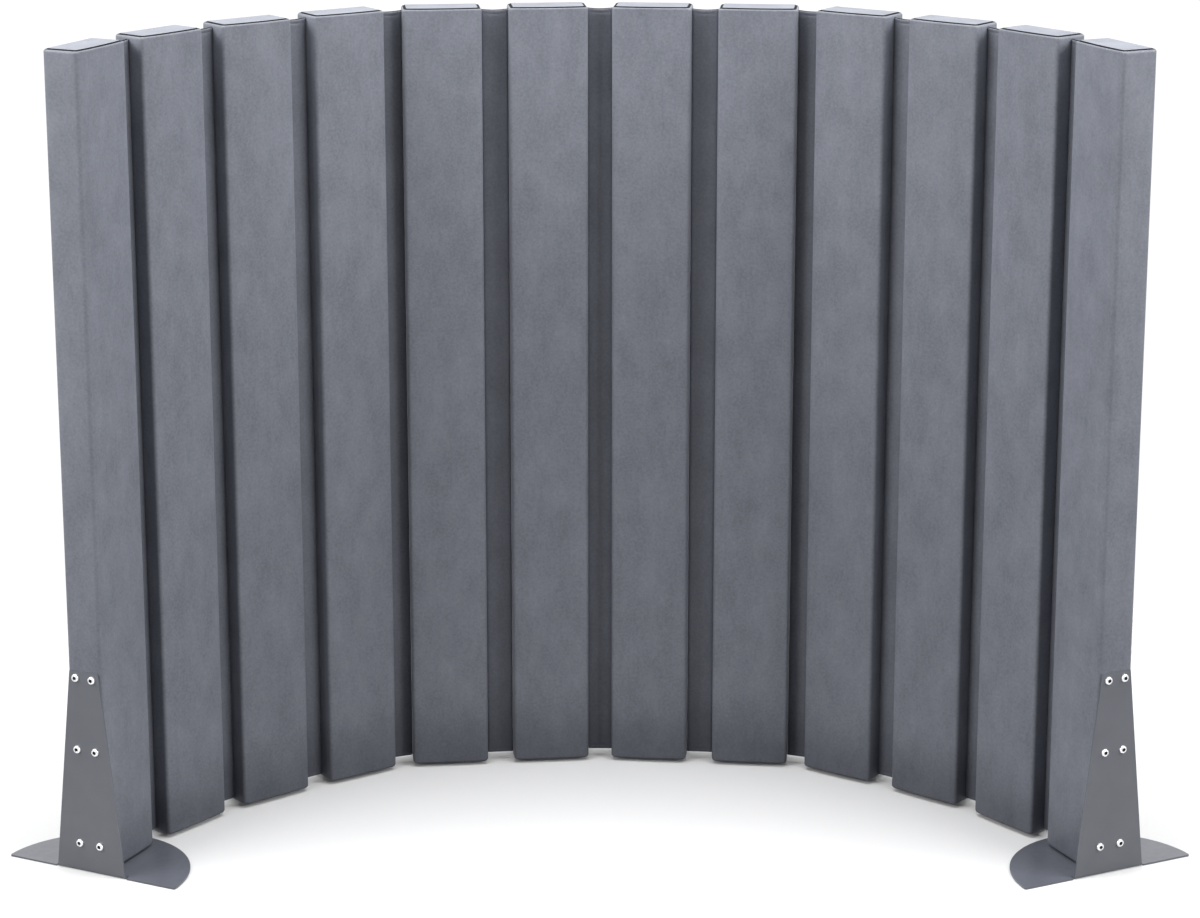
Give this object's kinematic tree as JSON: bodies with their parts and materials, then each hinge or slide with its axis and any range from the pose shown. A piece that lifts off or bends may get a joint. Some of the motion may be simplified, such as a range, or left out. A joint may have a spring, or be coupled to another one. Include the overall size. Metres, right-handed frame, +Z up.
{
  "type": "acoustic folding screen",
  "caption": "Free-standing acoustic folding screen of tall upholstered columns joined by narrow folding fabric webs, standing in a curve on two bent steel feet.",
  "frame": {"origin": "on the floor, at the middle of the screen's width and depth", "axes": "+X along the screen from left to right seen from the hollow side, +Y from the hollow side to the back, +Z up"},
  "size_m": [2.0164, 0.653, 1.4],
  "materials": {
    "cover_fabric": "fine-grained matt coated upholstery in slate grey",
    "web_fabric": "matt upholstery web in slate grey",
    "foam": "open-cell acoustic foam",
    "post_timber": "planed softwood",
    "foot_steel": "satin powder coat in slate grey",
    "screw_steel": "bright zinc-plated steel",
    "insert_brass": "turned brass",
    "glide": "black moulded plastic"
  },
  "bodies": {
    "column_01": {"column_01_cover": "cover_fabric", "column_01_core": "foam", "post_left": "post_timber", "foot_left": "foot_steel", "foot_screws_left": "screw_steel", "foot_inserts_left": "insert_brass"},
    "column_02": {"column_02_cover": "cover_fabric", "column_02_core": "foam", "column_02_glides": "glide"},
    "column_03": {"column_03_cover": "cover_fabric", "column_03_core": "foam", "column_03_glides": "glide"},
    "column_04": {"column_04_cover": "cover_fabric", "column_04_core": "foam", "column_04_glides": "glide"},
    "column_05": {"column_05_cover": "cover_fabric", "column_05_core": "foam", "column_05_glides": "glide"},
    "column_06": {"column_06_cover": "cover_fabric", "column_06_core": "foam", "column_06_glides": "glide"},
    "column_07": {"column_07_cover": "cover_fabric", "column_07_core": "foam", "column_07_glides": "glide"},
    "column_08": {"column_08_cover": "cover_fabric", "column_08_core": "foam", "column_08_glides": "glide"},
    "column_09": {"column_09_cover": "cover_fabric", "column_09_core": "foam", "column_09_glides": "glide"},
    "column_10": {"column_10_cover": "cover_fabric", "column_10_core": "foam", "column_10_glides": "glide"},
    "column_11": {"column_11_cover": "cover_fabric", "column_11_core": "foam", "column_11_glides": "glide"},
    "column_12": {"column_12_cover": "cover_fabric", "column_12_core": "foam", "post_right": "post_timber", "foot_right": "foot_steel", "foot_screws_right": "screw_steel", "foot_inserts_right": "insert_brass"},
    "web_01": {"web_01": "web_fabric"},
    "web_02": {"web_02": "web_fabric"},
    "web_03": {"web_03": "web_fabric"},
    "web_04": {"web_04": "web_fabric"},
    "web_05": {"web_05": "web_fabric"},
    "web_06": {"web_06": "web_fabric"},
    "web_07": {"web_07": "web_fabric"},
    "web_08": {"web_08": "web_fabric"},
    "web_09": {"web_09": "web_fabric"},
    "web_10": {"web_10": "web_fabric"},
    "web_11": {"web_11": "web_fabric"}
  },
  "joints": [
    {"name": "web_01_fold", "type": "hinge", "parent": "column_02", "child": "web_01", "pos_m": [-0.77522, -0.09083, 0.703], "axis": [0, 0, -1], "range_deg": [-38.25, 51.75]},
    {"name": "web_01_far_crease", "type": "hinge", "parent": "web_01", "child": "column_01", "pos_m": [-0.79732, -0.12585, 0.703], "axis": [0, 0, -1], "range_deg": [-38.25, 51.75]},
    {"name": "web_02_fold", "type": "hinge", "parent": "column_03", "child": "web_02", "pos_m": [-0.65482, 0.05069, 0.703], "axis": [0, 0, 1], "range_deg": [-51.25, 38.75]},
    {"name": "web_02_far_crease", "type": "hinge", "parent": "web_02", "child": "column_02", "pos_m": [-0.68422, 0.02154, 0.703], "axis": [0, 0, 1], "range_deg": [-51.25, 38.75]},
    {"name": "web_03_fold", "type": "hinge", "parent": "column_04", "child": "web_03", "pos_m": [-0.50827, 0.16518, 0.703], "axis": [0, 0, -1], "range_deg": [-42.75, 47.25]},
    {"name": "web_03_far_crease", "type": "hinge", "parent": "web_03", "child": "column_03", "pos_m": [-0.54166, 0.1407, 0.703], "axis": [0, 0, -1], "range_deg": [-42.75, 47.25]},
    {"name": "web_04_fold", "type": "hinge", "parent": "column_05", "child": "web_04", "pos_m": [-0.34949, 0.2602, 0.703], "axis": [0, 0, 1], "range_deg": [-59, 31]},
    {"name": "web_04_far_crease", "type": "hinge", "parent": "web_04", "child": "column_04", "pos_m": [-0.38839, 0.24604, 0.703], "axis": [0, 0, 1], "range_deg": [-59, 31]},
    {"name": "web_05_fold", "type": "hinge", "parent": "column_06", "child": "web_05", "pos_m": [-0.16451, 0.27964, 0.703], "axis": [0, 0, -1], "range_deg": [-45, 45]},
    {"name": "web_05_far_crease", "type": "hinge", "parent": "web_05", "child": "column_05", "pos_m": [-0.20568, 0.27532, 0.703], "axis": [0, 0, -1], "range_deg": [-45, 45]},
    {"name": "web_06_fold", "type": "hinge", "parent": "column_06", "child": "web_06", "pos_m": [-0.0207, 0.29476, 0.703], "axis": [0, 0, -1], "range_deg": [-51, 39]},
    {"name": "web_06_far_crease", "type": "hinge", "parent": "web_06", "child": "column_07", "pos_m": [0.0207, 0.29476, 0.703], "axis": [0, 0, -1], "range_deg": [-51, 39]},
    {"name": "web_07_fold", "type": "hinge", "parent": "column_07", "child": "web_07", "pos_m": [0.16451, 0.27964, 0.703], "axis": [0, 0, 1], "range_deg": [-45, 45]},
    {"name": "web_07_far_crease", "type": "hinge", "parent": "web_07", "child": "column_08", "pos_m": [0.20568, 0.27532, 0.703], "axis": [0, 0, 1], "range_deg": [-45, 45]},
    {"name": "web_08_fold", "type": "hinge", "parent": "column_08", "child": "web_08", "pos_m": [0.34949, 0.2602, 0.703], "axis": [0, 0, -1], "range_deg": [-59, 31]},
    {"name": "web_08_far_crease", "type": "hinge", "parent": "web_08", "child": "column_09", "pos_m": [0.38839, 0.24604, 0.703], "axis": [0, 0, -1], "range_deg": [-59, 31]},
    {"name": "web_09_fold", "type": "hinge", "parent": "column_09", "child": "web_09", "pos_m": [0.50827, 0.16518, 0.703], "axis": [0, 0, 1], "range_deg": [-42.75, 47.25]},
    {"name": "web_09_far_crease", "type": "hinge", "parent": "web_09", "child": "column_10", "pos_m": [0.54166, 0.1407, 0.703], "axis": [0, 0, 1], "range_deg": [-42.75, 47.25]},
    {"name": "web_10_fold", "type": "hinge", "parent": "column_10", "child": "web_10", "pos_m": [0.65482, 0.05069, 0.703], "axis": [0, 0, -1], "range_deg": [-51.25, 38.75]},
    {"name": "web_10_far_crease", "type": "hinge", "parent": "web_10", "child": "column_11", "pos_m": [0.68422, 0.02154, 0.703], "axis": [0, 0, -1], "range_deg": [-51.25, 38.75]},
    {"name": "web_11_fold", "type": "hinge", "parent": "column_11", "child": "web_11", "pos_m": [0.77522, -0.09083, 0.703], "axis": [0, 0, 1], "range_deg": [-38.25, 51.75]},
    {"name": "web_11_far_crease", "type": "hinge", "parent": "web_11", "child": "column_12", "pos_m": [0.79732, -0.12585, 0.703], "axis": [0, 0, 1], "range_deg": [-38.25, 51.75]}
  ],
  "couplings": [
    {"joint": "web_01_far_crease", "follows": "web_01_fold", "ratio": 1},
    {"joint": "web_02_far_crease", "follows": "web_02_fold", "ratio": 1},
    {"joint": "web_03_far_crease", "follows": "web_03_fold", "ratio": 1},
    {"joint": "web_04_far_crease", "follows": "web_04_fold", "ratio": 1},
    {"joint": "web_05_far_crease", "follows": "web_05_fold", "ratio": 1},
    {"joint": "web_06_far_crease", "follows": "web_06_fold", "ratio": 1},
    {"joint": "web_07_far_crease", "follows": "web_07_fold", "ratio": 1},
    {"joint": "web_08_far_crease", "follows": "web_08_fold", "ratio": 1},
    {"joint": "web_09_far_crease", "follows": "web_09_fold", "ratio": 1},
    {"joint": "web_10_far_crease", "follows": "web_10_fold", "ratio": 1},
    {"joint": "web_11_far_crease", "follows": "web_11_fold", "ratio": 1}
  ]
}
